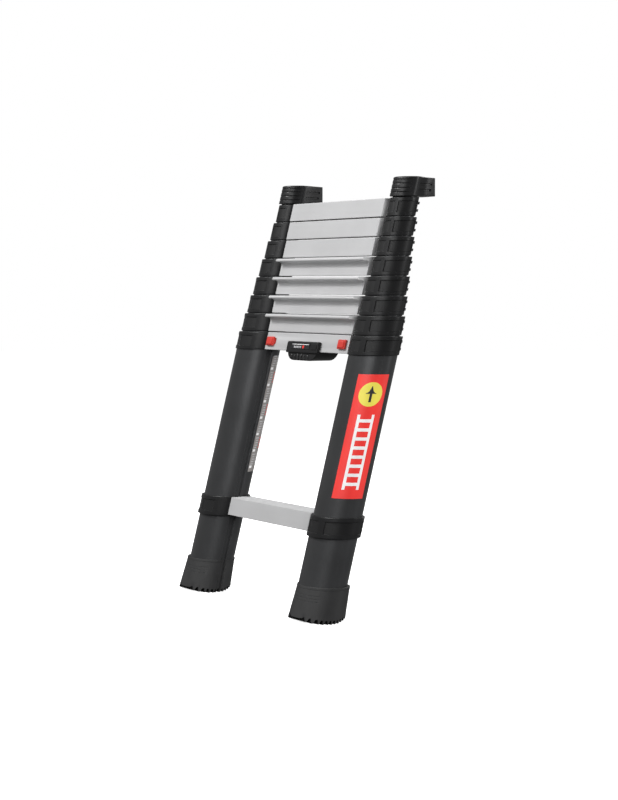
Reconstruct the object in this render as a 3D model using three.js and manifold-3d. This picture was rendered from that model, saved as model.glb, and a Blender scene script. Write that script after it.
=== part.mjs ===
// Telescopic extension ladder, closed, leaning back at its working angle.
// Millimetres. +X runs along the rungs, +Y points to the wall behind, +Z is up, the soles stand on Z = 0.
//
// Every piece is drawn upright, with Y = 0 on the centre line of the stiles, and leaned at the end by a
// shear along +Y. Rung treads, collars and cut tube ends therefore stay level while the stiles lean.

import * as THREE from 'three';
import { mergeVertices } from 'three/addons/utils/BufferGeometryUtils.js';
import Module from 'manifold-3d';

// Driving dimensions: the whole ladder
const leanAngle = THREE.MathUtils.degToRad(14.25); // stiles back from the vertical
const sectionCount = 8; // telescopic sections, one inside the other
const rungSpacing = 290; // along the stile, ladder extended
const firstRungBottom = 132.5; // underside of the lowest rung above the floor
const gap = 0.3; // clearance between pieces that touch
const past = 1; // cutters run this far past the faces they open

// Stile tubes: oval aluminium extrusions with a groove down the inner side
const tubeHalfWidth = 50.6; // lowest tube, along X
const tubeHalfDepth = 33.9; // lowest tube, along Y
const tubeHalfWidthStep = 3.81; // each tube is this much smaller than the one around it
const tubeHalfDepthStep = 1.97;
const tubeWall = 1.3;
const tubeLength = 397; // upper sections, measured vertically
const grooveDepth = 4.5;
const grooveFront = -8; // Y of the groove's front and rear edges
const grooveRear = 3;
const grooveFloorShare = 0.28; // width of the groove's floor as a share of its mouth
const ovalSteps = 24;

// Collars: plastic sleeves at the top of each tube, which hold the rungs
const collarWall = 2.1;
const clampWall = 4.2; // the lowest collar is a clamp round the tube, with a thicker wall
const clampDrop = 2.5; // and reaches this far below its rung
const sleeveSetback = 0.4; // inner side of the lowest sleeves outside their rungs' ends
const sleeveSetbackStep = 0.92; // added for each higher section
const collarLip = 2.5; // ledge over the tube's end, which guides the next tube
const collarLipClearance = 0.5;
const neckDepth = 14; // block between the sleeve and the rung's end
const neckSetback = 9; // the block's front behind the rung's front face
const spigotLength = 14; // plug that enters the hollow rung

// Rungs: hollow aluminium extrusions
const rungHalfLength = 141.2; // lowest two rungs
const rungHalfLengthStep = 1.7; // each higher rung is longer by this at both ends
const rungHeight = 29.6;
const rungStackGap = 1.8; // between closed rungs
const rungDepth = 37.5;
const rungFrontY = -16.5;
const rungWall = 1.8;
const lippedRungs = [3, 4, 5, 6]; // rungs with a nosing along the tread's front edge
const lipReach = 13;
const lipThickness = 5.5;
const coveRadius = 7;

// Rubber feet
const footTop = 55;
const footFloor = 14; // rubber under the tube's end
const footInnerWall = 1.7; // at the boot's top, towards the ladder's middle
const footOuterWall = 7.7;
const footDepthWall = 2.5; // front and rear
const footFlare = 3.5; // the sole stands out this much further all round
const footCuff = 4; // upright band at the boot's top
const soleRadius = 115; // the sole rocks on this radius
const treadPitch = 6;
const treadDepth = 3;
const treadCount = 15;
const lowestTread = 5; // counted from the toe, which is 0
const treadLand = 3.4; // level strip of each tread

// Top caps with their wall pads
const capGap = 2;
const capHeight = 31.4;
const capOverhang = 1.4; // the cap stands proud of the top collar by this
const capRimHeight = 2.4; // sloping rim round the top
const capRimInset = 1.6;
const capPadReach = 47; // wall pad behind the stile's centre, at the cap's underside
const capPadChamfer = 2;
const capArmInner = 24; // arm's sides, towards and away from the ladder's middle
const capArmOuter = 17;
const capPlugLength = 18;
const capPlugWall = 3;
const capSlotDepth = 2;
const capSlotHeight = 3.2;
const capSlotFront = 8; // the slots' front ends behind the stile's centre
const capSlotMargin = 12; // from the slots' rear ends to the pad
const capSlotShares = [0.3, 0.6]; // their heights as shares of the cap's

// Release buttons, each with its carriage, lock pin and spring
const buttonInset = 19.2; // button's centre from the rung's end
const buttonWidth = 24;
const buttonHeight = 15;
const buttonProud = 5.5;
const buttonTravel = 8;
const stemInset = 22.2; // stem's centre from the rung's end
const stemWidth = 10;
const stemHeight = 9;
const stemClearance = 1; // in the rung's slot
const carriageClearance = 2.5; // above and below it, inside the rung
const pinRadius = 3.5;
const pinBehindGroove = 1.5; // the pin's side behind the groove's rear edge
const pinBoreClearance = 0.4;
const pinTipChamfer = 0.8;
const springStopInset = 63.2; // stop's face towards the carriage, from the rung's end
const springStopWidth = 6;
const springMaxRadius = 6;
const springWire = 1.1;
const springTurns = 5;
const springWireSides = 5;
const springStepsPerTurn = 9;

// Carry handle under the second rung
const handlePlateWidth = 106;
const handlePlateHeight = 17;
const handlePlateThickness = 6.5;
const handleGripDrop = 14.5;
const handleGripHalfTop = 51;
const handleGripHalfBottom = 26;
const handleGripFullness = 0.9; // how far out the grip's lower corners pull
const handleGripInset = 3; // grip's front behind the plate's front
const badgeWidth = 60;
const badgeCentreX = -4;
const badgeHeight = 7.5;
const badgeThickness = 1.2;
const badgeRise = 0.62; // its centre's height as a share of the plate's

// Derived sizes
const lean = Math.tan(leanAngle);
const rungPitch = rungHeight + rungStackGap;
const lockTravel = rungSpacing * Math.cos(leanAngle) - rungPitch; // vertical rise of a section's lock
const stackBottom = firstRungBottom + rungSpacing * Math.cos(leanAngle);
const rungCount = sectionCount + 1;
const rungRearY = rungFrontY + rungDepth;
const pinY = grooveRear + pinBehindGroove + pinRadius;
const pinZ = stackBottom + rungHeight / 2;
const buttonCentreX = rungHalfLength - buttonInset;
const stemInner = rungHalfLength - stemInset - stemWidth / 2;
const stemOuter = rungHalfLength - stemInset + stemWidth / 2;
const springStopX = rungHalfLength - springStopInset;
const springRadius = Math.min(springMaxRadius, rungRearY - rungWall - gap - springWire - pinY);

const wasm = await Module();
wasm.setup();

const materials = {
  tube: new THREE.MeshStandardMaterial({ color: 0x3a3c3e, roughness: 0.45, metalness: 0.6 }),
  plastic: new THREE.MeshStandardMaterial({ color: 0x1d1e20, roughness: 0.5, metalness: 0 }),
  rung: new THREE.MeshStandardMaterial({ color: 0xc4c6c8, roughness: 0.35, metalness: 0.9 }),
  rubber: new THREE.MeshStandardMaterial({ color: 0x17181a, roughness: 0.8, metalness: 0 }),
  red: new THREE.MeshStandardMaterial({ color: 0xd9342c, roughness: 0.4, metalness: 0 }),
  steel: new THREE.MeshStandardMaterial({ color: 0x8d9093, roughness: 0.3, metalness: 1 }),
  badge: new THREE.MeshStandardMaterial({ color: 0x101113, roughness: 0.25, metalness: 0 }),
};

// Solids

function toSolid(geometry) {
  geometry.deleteAttribute('normal');
  geometry.deleteAttribute('uv');
  const merged = mergeVertices(geometry, 1e-4);
  return new wasm.Manifold(new wasm.Mesh({
    numProp: 3,
    vertProperties: new Float32Array(merged.attributes.position.array),
    triVerts: new Uint32Array(merged.index.array),
  }));
}

function toGeometry(solid) {
  const { vertProperties, triVerts } = solid.getMesh();
  const geometry = new THREE.BufferGeometry();
  geometry.setAttribute('position', new THREE.BufferAttribute(new Float32Array(vertProperties), 3));
  geometry.setIndex(new THREE.BufferAttribute(new Uint32Array(triVerts), 1));
  return geometry;
}

// A shape whose outline runs anticlockwise and whose holes run clockwise.
function shapeOf(points, holes = []) {
  const loop = (list, clockwise) => {
    const path = list.map(([x, y]) => new THREE.Vector2(x, y));
    return THREE.ShapeUtils.isClockWise(path) === clockwise ? path : path.reverse();
  };
  const shape = new THREE.Shape(loop(points, false));
  for (const hole of holes) shape.holes.push(new THREE.Path(loop(hole, true)));
  return shape;
}

// Upright prism between two heights, from an outline in X and Y.
function prism(points, bottom, top, holes) {
  const geometry = new THREE.ExtrudeGeometry(shapeOf(points, holes), { depth: top - bottom, bevelEnabled: false });
  return toSolid(geometry.translate(0, 0, bottom));
}

// Bar along X, from an outline in Y and Z.
function bar(points, left, right, holes) {
  const geometry = new THREE.ExtrudeGeometry(shapeOf(points, holes), { depth: right - left, bevelEnabled: false });
  const alongX = new THREE.Matrix4().set(0, 0, 1, left, 1, 0, 0, 0, 0, 1, 0, 0, 0, 0, 0, 1);
  return toSolid(geometry.applyMatrix4(alongX));
}

function block(x0, x1, y0, y1, z0, z1) {
  const geometry = new THREE.BoxGeometry(x1 - x0, y1 - y0, z1 - z0);
  return toSolid(geometry.translate((x0 + x1) / 2, (y0 + y1) / 2, (z0 + z1) / 2));
}

// Round rod along X.
function rod(x0, x1, y, z, radius, sides = 12) {
  const geometry = new THREE.CylinderGeometry(radius, radius, x1 - x0, sides);
  return toSolid(geometry.rotateZ(Math.PI / 2).translate((x0 + x1) / 2, y, z));
}

// Closed skin over a stack of rings, from the lowest up, each a list of [x, y, z] with as many points.
function loft(rings) {
  const outline = (ring) => ring.map(([x, y]) => new THREE.Vector2(x, y));
  const stack = THREE.ShapeUtils.isClockWise(outline(rings[0])) ? rings.map((ring) => [...ring].reverse()) : rings;
  const count = stack[0].length;
  const index = [];
  for (let r = 0; r < stack.length - 1; r++) {
    for (let i = 0; i < count; i++) {
      const a = r * count + i;
      const b = r * count + ((i + 1) % count);
      index.push(a, b, b + count, a, b + count, a + count);
    }
  }
  const last = (stack.length - 1) * count;
  for (const [a, b, c] of THREE.ShapeUtils.triangulateShape(outline(stack[0]), [])) index.push(a, c, b);
  for (const [a, b, c] of THREE.ShapeUtils.triangulateShape(outline(stack.at(-1)), [])) {
    index.push(last + a, last + b, last + c);
  }
  const geometry = new THREE.BufferGeometry();
  geometry.setAttribute('position', new THREE.Float32BufferAttribute(stack.flat(2), 3));
  geometry.setIndex(index);
  return toSolid(geometry);
}

// Outlines of the right-hand stile, around its own centre

// Oval with the groove: starts at the groove's rear edge and runs by the rear, the outside and the front.
function stileOutline(centreX, halfWidth, halfDepth) {
  const start = Math.asin(grooveRear / halfDepth);
  const end = 2 * Math.PI + Math.asin(grooveFront / halfDepth);
  const points = [];
  for (let i = 0; i <= ovalSteps; i++) {
    const angle = start + ((end - start) * i) / ovalSteps;
    points.push([centreX - halfWidth * Math.cos(angle), halfDepth * Math.sin(angle)]);
  }
  const floorHalf = ((grooveRear - grooveFront) * grooveFloorShare) / 2;
  const middle = (grooveFront + grooveRear) / 2;
  for (const y of [middle - floorHalf, middle + floorHalf]) {
    points.push([centreX - halfWidth * Math.cos(Math.asin(y / halfDepth)) + grooveDepth, y]);
  }
  return points;
}

function ovalOutline(centreX, halfWidth, halfDepth) {
  const points = [];
  for (let i = 0; i < ovalSteps; i++) {
    const angle = (2 * Math.PI * i) / ovalSteps;
    points.push([centreX - halfWidth * Math.cos(angle), halfDepth * Math.sin(angle)]);
  }
  return points;
}

const sectionHalfWidth = (section) => tubeHalfWidth - tubeHalfWidthStep * (section - 1);
const sectionHalfDepth = (section) => tubeHalfDepth - tubeHalfDepthStep * (section - 1);
// Each stile's centre follows from its rung's end, which the sleeve's inner side stands outside.
const sectionCentre = (section) => rungEnd(section + 1) + sleeveSetback + sleeveSetbackStep * (section - 1)
  + collarWall + sectionHalfWidth(section);

// Outline of a section's tube, grown by some offset.
function tubeOutline(section, offset = 0) {
  return stileOutline(
    sectionCentre(section),
    sectionHalfWidth(section) + offset,
    sectionHalfDepth(section) + offset,
  );
}

// Heights and lengths of the rungs, numbered from 1 at the bottom

const rungBottom = (rung) => (rung === 1 ? firstRungBottom : stackBottom + rungPitch * (rung - 2));
const rungTop = (rung) => rungBottom(rung) + rungHeight;
const rungEnd = (rung) => rungHalfLength + rungHalfLengthStep * Math.max(0, rung - 2);
// Rung 1 is clamped round the lowest tube; every other rung sits at the top of the tube below it.
const collarSection = (rung) => Math.max(1, rung - 1);

// Pieces of the right-hand side

function makeTube(section) {
  const top = rungTop(section + 1) - collarLip - gap;
  const bottom = section === 1 ? footFloor + gap : rungTop(section + 1) - tubeLength;
  let tube = prism(tubeOutline(section), bottom, top, [tubeOutline(section, -tubeWall)]);
  const inside = sectionCentre(section) - sectionHalfWidth(section) / 2;
  const hole = (z) => rod(rungHalfLength, inside, pinY, z, pinRadius + pinBoreClearance);
  if (section === 1) tube = tube.subtract(hole(pinZ));
  if (section === 2) tube = tube.subtract(hole(pinZ - lockTravel));
  return tube;
}

function makeCollar(rung) {
  const section = collarSection(rung);
  const [bottom, top] = [rungBottom(rung), rungTop(rung)];
  const end = rungEnd(rung);
  const wall = rung === 1 ? clampWall : collarWall;
  const drop = rung === 1 ? clampDrop : 0;
  const sleeve = ovalOutline(
    sectionCentre(section),
    sectionHalfWidth(section) + wall,
    sectionHalfDepth(section) + wall,
  ).map(([x, y]) => [Math.max(x, end), y]);
  let collar = prism(sleeve, bottom - drop, top)
    .add(block(end, end + neckDepth, rungFrontY + neckSetback, rungRearY, bottom, top));
  if (rung === 1) {
    collar = collar.subtract(prism(tubeOutline(section, gap), bottom - drop - past, top + past));
  } else {
    collar = collar.subtract(prism(tubeOutline(section, gap), bottom - past, top - collarLip));
    const mouth = rung === rungCount
      ? tubeOutline(section, -tubeWall)
      : tubeOutline(section + 1, collarLipClearance);
    collar = collar.subtract(prism(mouth, top - collarLip - past, top + past));
  }
  const inset = rungWall + gap;
  collar = collar.add(block(
    end - spigotLength, end + past,
    rungFrontY + neckSetback + past, rungRearY - inset,
    bottom + inset, top - inset,
  ));
  if (rung === 2) {
    collar = collar.subtract(rod(end - spigotLength - past, end + neckDepth + past, pinY, pinZ,
      pinRadius + pinBoreClearance));
  }
  return collar;
}

// Rung outline in Y and Z, with the nosing where the rung has one.
function rungOutline(rung) {
  const [bottom, top] = [rungBottom(rung), rungTop(rung)];
  const points = [[rungRearY, top], [rungRearY, bottom], [rungFrontY, bottom]];
  if (!lippedRungs.includes(rung)) return [...points, [rungFrontY, top]];
  const nose = lipThickness / 2;
  const noseY = rungFrontY - lipReach + nose;
  const coveZ = top - lipThickness - coveRadius;
  for (let i = 0; i <= 4; i++) {
    const angle = (Math.PI / 2) * (i / 4);
    points.push([rungFrontY - coveRadius * (1 - Math.cos(angle)), coveZ + coveRadius * Math.sin(angle)]);
  }
  for (let i = 0; i <= 4; i++) {
    const angle = Math.PI * (1.5 - i / 4);
    points.push([noseY + nose * Math.cos(angle), top - nose + nose * Math.sin(angle)]);
  }
  return points;
}

function makeRung(rung) {
  const [bottom, top] = [rungBottom(rung), rungTop(rung)];
  const [front, rear] = [rungFrontY + rungWall, rungRearY - rungWall];
  const half = rungEnd(rung) - gap;
  const hollow = [
    [front, bottom + rungWall], [rear, bottom + rungWall],
    [rear, top - rungWall], [front, top - rungWall],
  ];
  let solid = bar(rungOutline(rung), -half, half, [hollow]);
  if (rung === 2) {
    const near = stemInner - buttonTravel - stemClearance;
    const far = stemOuter + stemClearance;
    const slotHalf = stemHeight / 2 + stemClearance;
    for (const [left, right] of [[-far, -near], [near, far]]) {
      solid = solid.subtract(block(left, right, rungFrontY - past, front + past, pinZ - slotHalf, pinZ + slotHalf));
    }
  }
  return solid;
}

function makeFoot() {
  const centre = sectionCentre(1) + (footOuterWall - footInnerWall) / 2;
  const halfWidth = tubeHalfWidth + (footOuterWall + footInnerWall) / 2;
  const ring = (flare, z) => stileOutline(centre, halfWidth + flare, tubeHalfDepth + footDepthWall + flare)
    .map(([x, y]) => [x, y, z]);
  const boot = loft([
    ring(footFlare, -past),
    ring(footFlare, treadDepth),
    ring(footFlare / 2, footTop / 2),
    ring(0, footTop - footCuff),
    ring(0, footTop),
  ]);
  const socket = prism(tubeOutline(1, gap), footFloor, footTop + past);
  const reach = halfWidth + footFlare + past;
  const side = bar(soleProfile(), centre - reach, centre + reach);
  return boot.intersect(side).subtract(socket);
}

// Side outline in Y and Z that cuts the boot's sole: a rocker of level treads with grooves between them.
function soleProfile() {
  const treadY = (i) => (i - (treadCount - 1) / 2) * treadPitch;
  const rise = (y) => (y - treadY(lowestTread)) ** 2 / (2 * soleRadius);
  const grooveHalf = (treadPitch - treadLand) / 4;
  const points = [];
  for (let i = 0; i < treadCount; i++) {
    const y = treadY(i);
    points.push([y - treadLand / 2, rise(y)], [y + treadLand / 2, rise(y)]);
    if (i < treadCount - 1) {
      const between = y + treadPitch / 2;
      points.push([between - grooveHalf, rise(y) + treadDepth], [between + grooveHalf, rise(y) + treadDepth]);
    }
  }
  const rear = treadY(treadCount - 1) + treadPitch;
  const front = treadY(0) - treadPitch;
  return [...points, [rear, rise(rear)], [rear, footTop + past], [front, footTop + past], [front, rise(front)]];
}

function makeTopCap() {
  const bottom = rungTop(rungCount) + capGap;
  const top = bottom + capHeight;
  const halfWidth = sectionHalfWidth(sectionCount) + collarWall + capOverhang;
  const halfDepth = sectionHalfDepth(sectionCount) + collarWall + capOverhang;
  const centre = sectionCentre(sectionCount);
  const ring = (shrink, z) => ovalOutline(centre, halfWidth - shrink, halfDepth - shrink)
    .map(([x, y]) => [x, y, z]);
  const rim = top - capRimHeight;
  const dome = loft([ring(0, bottom), ring(0, rim), ring(capRimInset, top)]);
  // The arm's rear face is vertical once the ladder leans, so upright it runs forward as it rises.
  const pad = (z) => capPadReach - (z - bottom) * lean;
  const armProfile = [
    [0, bottom], [pad(bottom), bottom], [pad(rim), rim], [pad(rim) - capPadChamfer, rim + capRimInset], [0, top - gap],
  ];
  const [inner, outer] = [centre - capArmInner, centre + capArmOuter];
  const slots = [[inner - past, inner + capSlotDepth], [outer - capSlotDepth, outer + past]];
  let arm = bar(armProfile, inner, outer);
  for (const share of capSlotShares) {
    const low = bottom + capHeight * share - capSlotHeight / 2;
    for (const [x0, x1] of slots) {
      arm = arm.subtract(block(x0, x1, capSlotFront, capPadReach - capSlotMargin, low, low + capSlotHeight));
    }
  }
  const plugBottom = rungTop(rungCount) - capPlugLength;
  const plug = prism(tubeOutline(sectionCount, -tubeWall - gap), plugBottom, bottom + past);
  const hollow = prism(tubeOutline(sectionCount, -tubeWall - gap - capPlugWall), plugBottom - past, bottom - past);
  return dome.add(arm).add(plug.subtract(hollow));
}

function makeReleaseButton() {
  const front = rungFrontY - gap;
  const cover = block(
    buttonCentreX - buttonWidth / 2, buttonCentreX + buttonWidth / 2,
    front - buttonProud, front, pinZ - buttonHeight / 2, pinZ + buttonHeight / 2,
  );
  const carriageFront = rungFrontY + rungWall + gap;
  const carriageRear = rungRearY - rungWall - gap;
  const carriageHalf = rungHeight / 2 - rungWall - carriageClearance;
  const stem = block(
    stemInner, stemOuter, front - past, carriageFront + past, pinZ - stemHeight / 2, pinZ + stemHeight / 2,
  );
  const carriage = block(
    stemInner, stemOuter, carriageFront, carriageRear, pinZ - carriageHalf, pinZ + carriageHalf,
  );
  return cover.add(stem).add(carriage)
    .subtract(rod(stemInner - past, stemOuter + past, pinY, pinZ, pinRadius + gap));
}

function makeLockPin() {
  const nearestY = pinY - pinRadius; // where the next tube's side comes closest to the tip
  const nextTube = sectionCentre(2) - sectionHalfWidth(2) * Math.cos(Math.asin(nearestY / sectionHalfDepth(2)));
  const tip = nextTube - gap;
  return rod(stemInner + gap, tip - pinTipChamfer, pinY, pinZ, pinRadius)
    .add(rod(tip - 2 * pinTipChamfer, tip, pinY, pinZ, pinRadius - pinTipChamfer));
}

function makeSpringStop() {
  const inset = rungWall + gap;
  return block(
    springStopX - springStopWidth, springStopX,
    rungFrontY + inset, rungRearY - inset, rungBottom(2) + inset, rungTop(2) - inset,
  );
}

class Helix extends THREE.Curve {
  constructor(start, length, radius, turns) {
    super();
    Object.assign(this, { start, length, radius, turns });
  }

  getPoint(t, target = new THREE.Vector3()) {
    const angle = 2 * Math.PI * this.turns * t;
    return target.set(
      this.start + this.length * t,
      pinY + this.radius * Math.cos(angle),
      pinZ + this.radius * Math.sin(angle),
    );
  }
}

function makeLockSpring() {
  const clear = springWire + gap;
  const start = springStopX + clear;
  const length = stemInner - clear - start;
  const wire = [];
  for (let i = 0; i < springWireSides; i++) {
    const angle = (2 * Math.PI * i) / springWireSides;
    wire.push(new THREE.Vector2(springWire * Math.cos(angle), springWire * Math.sin(angle)));
  }
  return toSolid(new THREE.ExtrudeGeometry(new THREE.Shape(wire), {
    steps: springTurns * springStepsPerTurn,
    extrudePath: new Helix(start, length, springRadius, springTurns),
    bevelEnabled: false,
  }));
}

function makeCarryHandle() {
  const plateFront = rungFrontY - gap - handlePlateThickness;
  const underside = rungBottom(2) - gap;
  const plate = block(
    -handlePlateWidth / 2, handlePlateWidth / 2,
    plateFront, rungFrontY - gap, underside - 2, underside + handlePlateHeight,
  );
  const grip = new THREE.Shape();
  const pull = handleGripHalfTop * handleGripFullness;
  const low = underside - handleGripDrop;
  grip.moveTo(-handleGripHalfTop, underside);
  grip.quadraticCurveTo(-pull, low, -handleGripHalfBottom, low);
  grip.lineTo(handleGripHalfBottom, low);
  grip.quadraticCurveTo(pull, low, handleGripHalfTop, underside);
  const gripFront = plateFront + handleGripInset;
  const gripRear = rungRearY + past;
  const geometry = new THREE.ExtrudeGeometry(grip, {
    depth: gripRear - gripFront, bevelEnabled: false, curveSegments: 5,
  });
  geometry.rotateX(Math.PI / 2).translate(0, gripRear, 0);
  return plate.add(toSolid(geometry));
}

function makeBadge() {
  const plateFront = rungFrontY - gap - handlePlateThickness;
  const centreZ = rungBottom(2) - gap + handlePlateHeight * badgeRise;
  return block(
    badgeCentreX - badgeWidth / 2, badgeCentreX + badgeWidth / 2,
    plateFront - gap - badgeThickness, plateFront - gap, centreZ - badgeHeight / 2, centreZ + badgeHeight / 2,
  );
}

// Assembly

const ladder = new THREE.Group();

function addMesh(name, solid, material, mirrored = false) {
  const geometry = toGeometry(solid);
  const position = geometry.attributes.position;
  for (let i = 0; i < position.count; i++) {
    if (mirrored) position.setX(i, -position.getX(i));
    position.setY(i, position.getY(i) + position.getZ(i) * lean);
  }
  if (mirrored) {
    const index = geometry.index.array;
    for (let i = 0; i < index.length; i += 3) [index[i + 1], index[i + 2]] = [index[i + 2], index[i + 1]];
  }
  geometry.computeVertexNormals();
  const mesh = new THREE.Mesh(geometry, material);
  mesh.name = name;
  ladder.add(mesh);
}

function addPair(name, solid, material) {
  addMesh(`right_${name}`, solid, material);
  addMesh(`left_${name}`, solid, material, true);
}

for (let section = 1; section <= sectionCount; section++) {
  addPair(`tube_${section}`, makeTube(section), materials.tube);
}
for (let rung = 1; rung <= rungCount; rung++) {
  addPair(`collar_${rung}`, makeCollar(rung), materials.plastic);
  addMesh(`rung_${rung}`, makeRung(rung), materials.rung);
}
addPair('foot', makeFoot(), materials.rubber);
addPair('top_cap', makeTopCap(), materials.plastic);
addPair('release_button', makeReleaseButton(), materials.red);
addPair('lock_pin', makeLockPin(), materials.steel);
addPair('spring_stop', makeSpringStop(), materials.plastic);
addPair('lock_spring', makeLockSpring(), materials.steel);
addMesh('carry_handle', makeCarryHandle(), materials.plastic);
addMesh('handle_badge', makeBadge(), materials.badge);

// The origin is the middle of the ladder's footprint in plan, on the floor.
const box = new THREE.Box3().setFromObject(ladder);
ladder.position.set(0, -(box.min.y + box.max.y) / 2, -box.min.z);

export default ladder;
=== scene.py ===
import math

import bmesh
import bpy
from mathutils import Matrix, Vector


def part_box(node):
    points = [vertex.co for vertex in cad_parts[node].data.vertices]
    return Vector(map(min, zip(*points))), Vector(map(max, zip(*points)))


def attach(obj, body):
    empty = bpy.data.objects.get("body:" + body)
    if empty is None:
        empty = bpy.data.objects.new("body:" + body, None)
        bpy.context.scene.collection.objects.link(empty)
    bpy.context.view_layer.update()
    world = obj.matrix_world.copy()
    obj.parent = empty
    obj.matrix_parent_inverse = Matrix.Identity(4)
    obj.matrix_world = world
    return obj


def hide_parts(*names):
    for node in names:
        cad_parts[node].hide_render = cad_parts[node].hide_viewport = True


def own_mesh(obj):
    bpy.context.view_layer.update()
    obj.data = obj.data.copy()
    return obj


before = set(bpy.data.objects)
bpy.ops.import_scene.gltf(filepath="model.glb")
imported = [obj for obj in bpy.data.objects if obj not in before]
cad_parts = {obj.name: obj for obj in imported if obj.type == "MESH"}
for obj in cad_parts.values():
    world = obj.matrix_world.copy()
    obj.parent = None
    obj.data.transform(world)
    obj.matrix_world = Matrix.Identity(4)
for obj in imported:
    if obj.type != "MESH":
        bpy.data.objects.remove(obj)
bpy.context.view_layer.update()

# Looks for the closed telescopic ladder: every CAD node is replaced by a finer mesh.
# Pieces are drawn upright in millimetres, for the right-hand side, with y = 0 on the stiles' centre
# line. They are then mirrored if need be, leaned by a shear along +Y, and turned into metres.

MM = 0.001

# Sizes shared with the CAD frame, in millimetres
LEAN = math.tan(math.radians(14.25))
SECTIONS = 8
RUNGS = SECTIONS + 1
GAP = 0.3
TUBE_HALF_WIDTH = 50.6
TUBE_HALF_DEPTH = 33.9
TUBE_HALF_WIDTH_STEP = 3.81
TUBE_HALF_DEPTH_STEP = 1.97
TUBE_WALL = 1.3
GROOVE_DEPTH = 4.5
GROOVE_FRONT = -8
GROOVE_REAR = 3
GROOVE_SLOPE = 3.6
GROOVE_MARGIN = 0.6
COLLAR_WALL = 2.1
CLAMP_WALL = 4.2
COLLAR_LIP = 2.5
NECK_DEPTH = 14
NECK_SETBACK = 9
RUNG_FRONT = -16.5
RUNG_DEPTH = 37.5
RUNG_REAR = RUNG_FRONT + RUNG_DEPTH
RUNG_WALL = 1.8
LIPPED_RUNGS = (3, 4, 5, 6)
LIP_REACH = 13
LIP_THICKNESS = 5.5
COVE_RADIUS = 7
FOOT_TOP = 55
FOOT_INNER_WALL = 1.7
FOOT_OUTER_WALL = 7.7
FOOT_DEPTH_WALL = 2.5
FOOT_FLARE = 3.5
SOLE_RADIUS = 115
TREAD_PITCH = 6
TREAD_DEPTH = 3
TREAD_COUNT = 15
LOWEST_TREAD = 5
CAP_OVERHANG = 1.4
CAP_PAD_REACH = 47
CAP_ARM_INNER = 24
CAP_ARM_OUTER = 17
PIN_Y = 8
PIN_RADIUS = 3.5


def box_mm(node):
    low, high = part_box(node)
    return [v / MM for v in low], [v / MM for v in high]


def rung_heights(rung):
    low, high = box_mm(f"rung_{rung}")
    return low[2], high[2]


def rung_end(rung):
    return box_mm(f"rung_{rung}")[1][0] + GAP


# How far the frame's Y lies from the upright drawing's
LOW_RUNG = box_mm("rung_1")[0]
SHIFT_Y = LOW_RUNG[1] - RUNG_FRONT - LOW_RUNG[2] * LEAN


def half_width(section):
    return TUBE_HALF_WIDTH - TUBE_HALF_WIDTH_STEP * (section - 1)


def half_depth(section):
    return TUBE_HALF_DEPTH - TUBE_HALF_DEPTH_STEP * (section - 1)


def stile_centre(section):
    return box_mm(f"right_tube_{section}")[0][0] + half_width(section)


# Camera

CAMERA_LENS = 96.02
CAMERA_SENSOR = 36
CAMERA_FROM_LOW_RUNG = Vector((3094.7, -1640.8, 391.7))
CAMERA_DOWNWARD = 3.0915
CAMERA_TURN = 60.92


def add_camera():
    """A tall, long-lens view from the ladder's right front, a little above its middle."""
    data = bpy.data.cameras.new("camera")
    data.lens = CAMERA_LENS
    data.sensor_width = CAMERA_SENSOR
    camera = bpy.data.objects.new("camera", data)
    bpy.context.scene.collection.objects.link(camera)
    camera.location = (Vector((0, LOW_RUNG[1], LOW_RUNG[2])) + CAMERA_FROM_LOW_RUNG) * MM
    camera.rotation_euler = (math.radians(90 - CAMERA_DOWNWARD), 0, math.radians(CAMERA_TURN))
    bpy.context.scene.camera = camera


add_camera()


# Shader helpers

def new_material(name, colour, roughness, metallic=0.0, specular=0.5):
    material = bpy.data.materials.new(name)
    material.use_nodes = True
    shader = material.node_tree.nodes["Principled BSDF"]
    shader.inputs["Base Color"].default_value = (*colour, 1)
    shader.inputs["Roughness"].default_value = roughness
    shader.inputs["Metallic"].default_value = metallic
    shader.inputs["Specular IOR Level"].default_value = specular
    return material


def node(material, kind, **settings):
    made = material.node_tree.nodes.new(kind)
    for key, value in settings.items():
        setattr(made, key, value)
    return made


def link(material, source, target):
    material.node_tree.links.new(source, target)


def noise(material, scale, stretch=(1, 1, 1), detail=4.0):
    """Noise in object space, drawn out along the axes whose stretch is small."""
    place = node(material, "ShaderNodeTexCoord")
    mapping = node(material, "ShaderNodeMapping")
    mapping.inputs["Scale"].default_value = stretch
    texture = node(material, "ShaderNodeTexNoise")
    texture.inputs["Scale"].default_value = scale
    texture.inputs["Detail"].default_value = detail
    link(material, place.outputs["Object"], mapping.inputs["Vector"])
    link(material, mapping.outputs["Vector"], texture.inputs["Vector"])
    return texture.outputs["Fac"]


def spread(material, value, low, high, from_low=0.3, from_high=0.7):
    """The value from one range taken to another, held at the ends."""
    ranged = node(material, "ShaderNodeMapRange")
    ranged.inputs["From Min"].default_value = from_low
    ranged.inputs["From Max"].default_value = from_high
    ranged.inputs["To Min"].default_value = low
    ranged.inputs["To Max"].default_value = high
    link(material, value, ranged.inputs["Value"])
    return ranged.outputs["Result"]


def tint(material, value, dark, light):
    """Colour between two, by the value."""
    ramp = node(material, "ShaderNodeValToRGB")
    ramp.color_ramp.elements[0].position = 0.3
    ramp.color_ramp.elements[0].color = (*dark, 1)
    ramp.color_ramp.elements[1].position = 0.7
    ramp.color_ramp.elements[1].color = (*light, 1)
    link(material, value, ramp.inputs["Fac"])
    return ramp.outputs["Color"]


def bump(material, value, distance, strength=1.0):
    made = node(material, "ShaderNodeBump")
    made.inputs["Strength"].default_value = strength
    made.inputs["Distance"].default_value = distance
    link(material, value, made.inputs["Height"])
    return made.outputs["Normal"]


def shader_input(material, name):
    return material.node_tree.nodes["Principled BSDF"].inputs[name]


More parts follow.
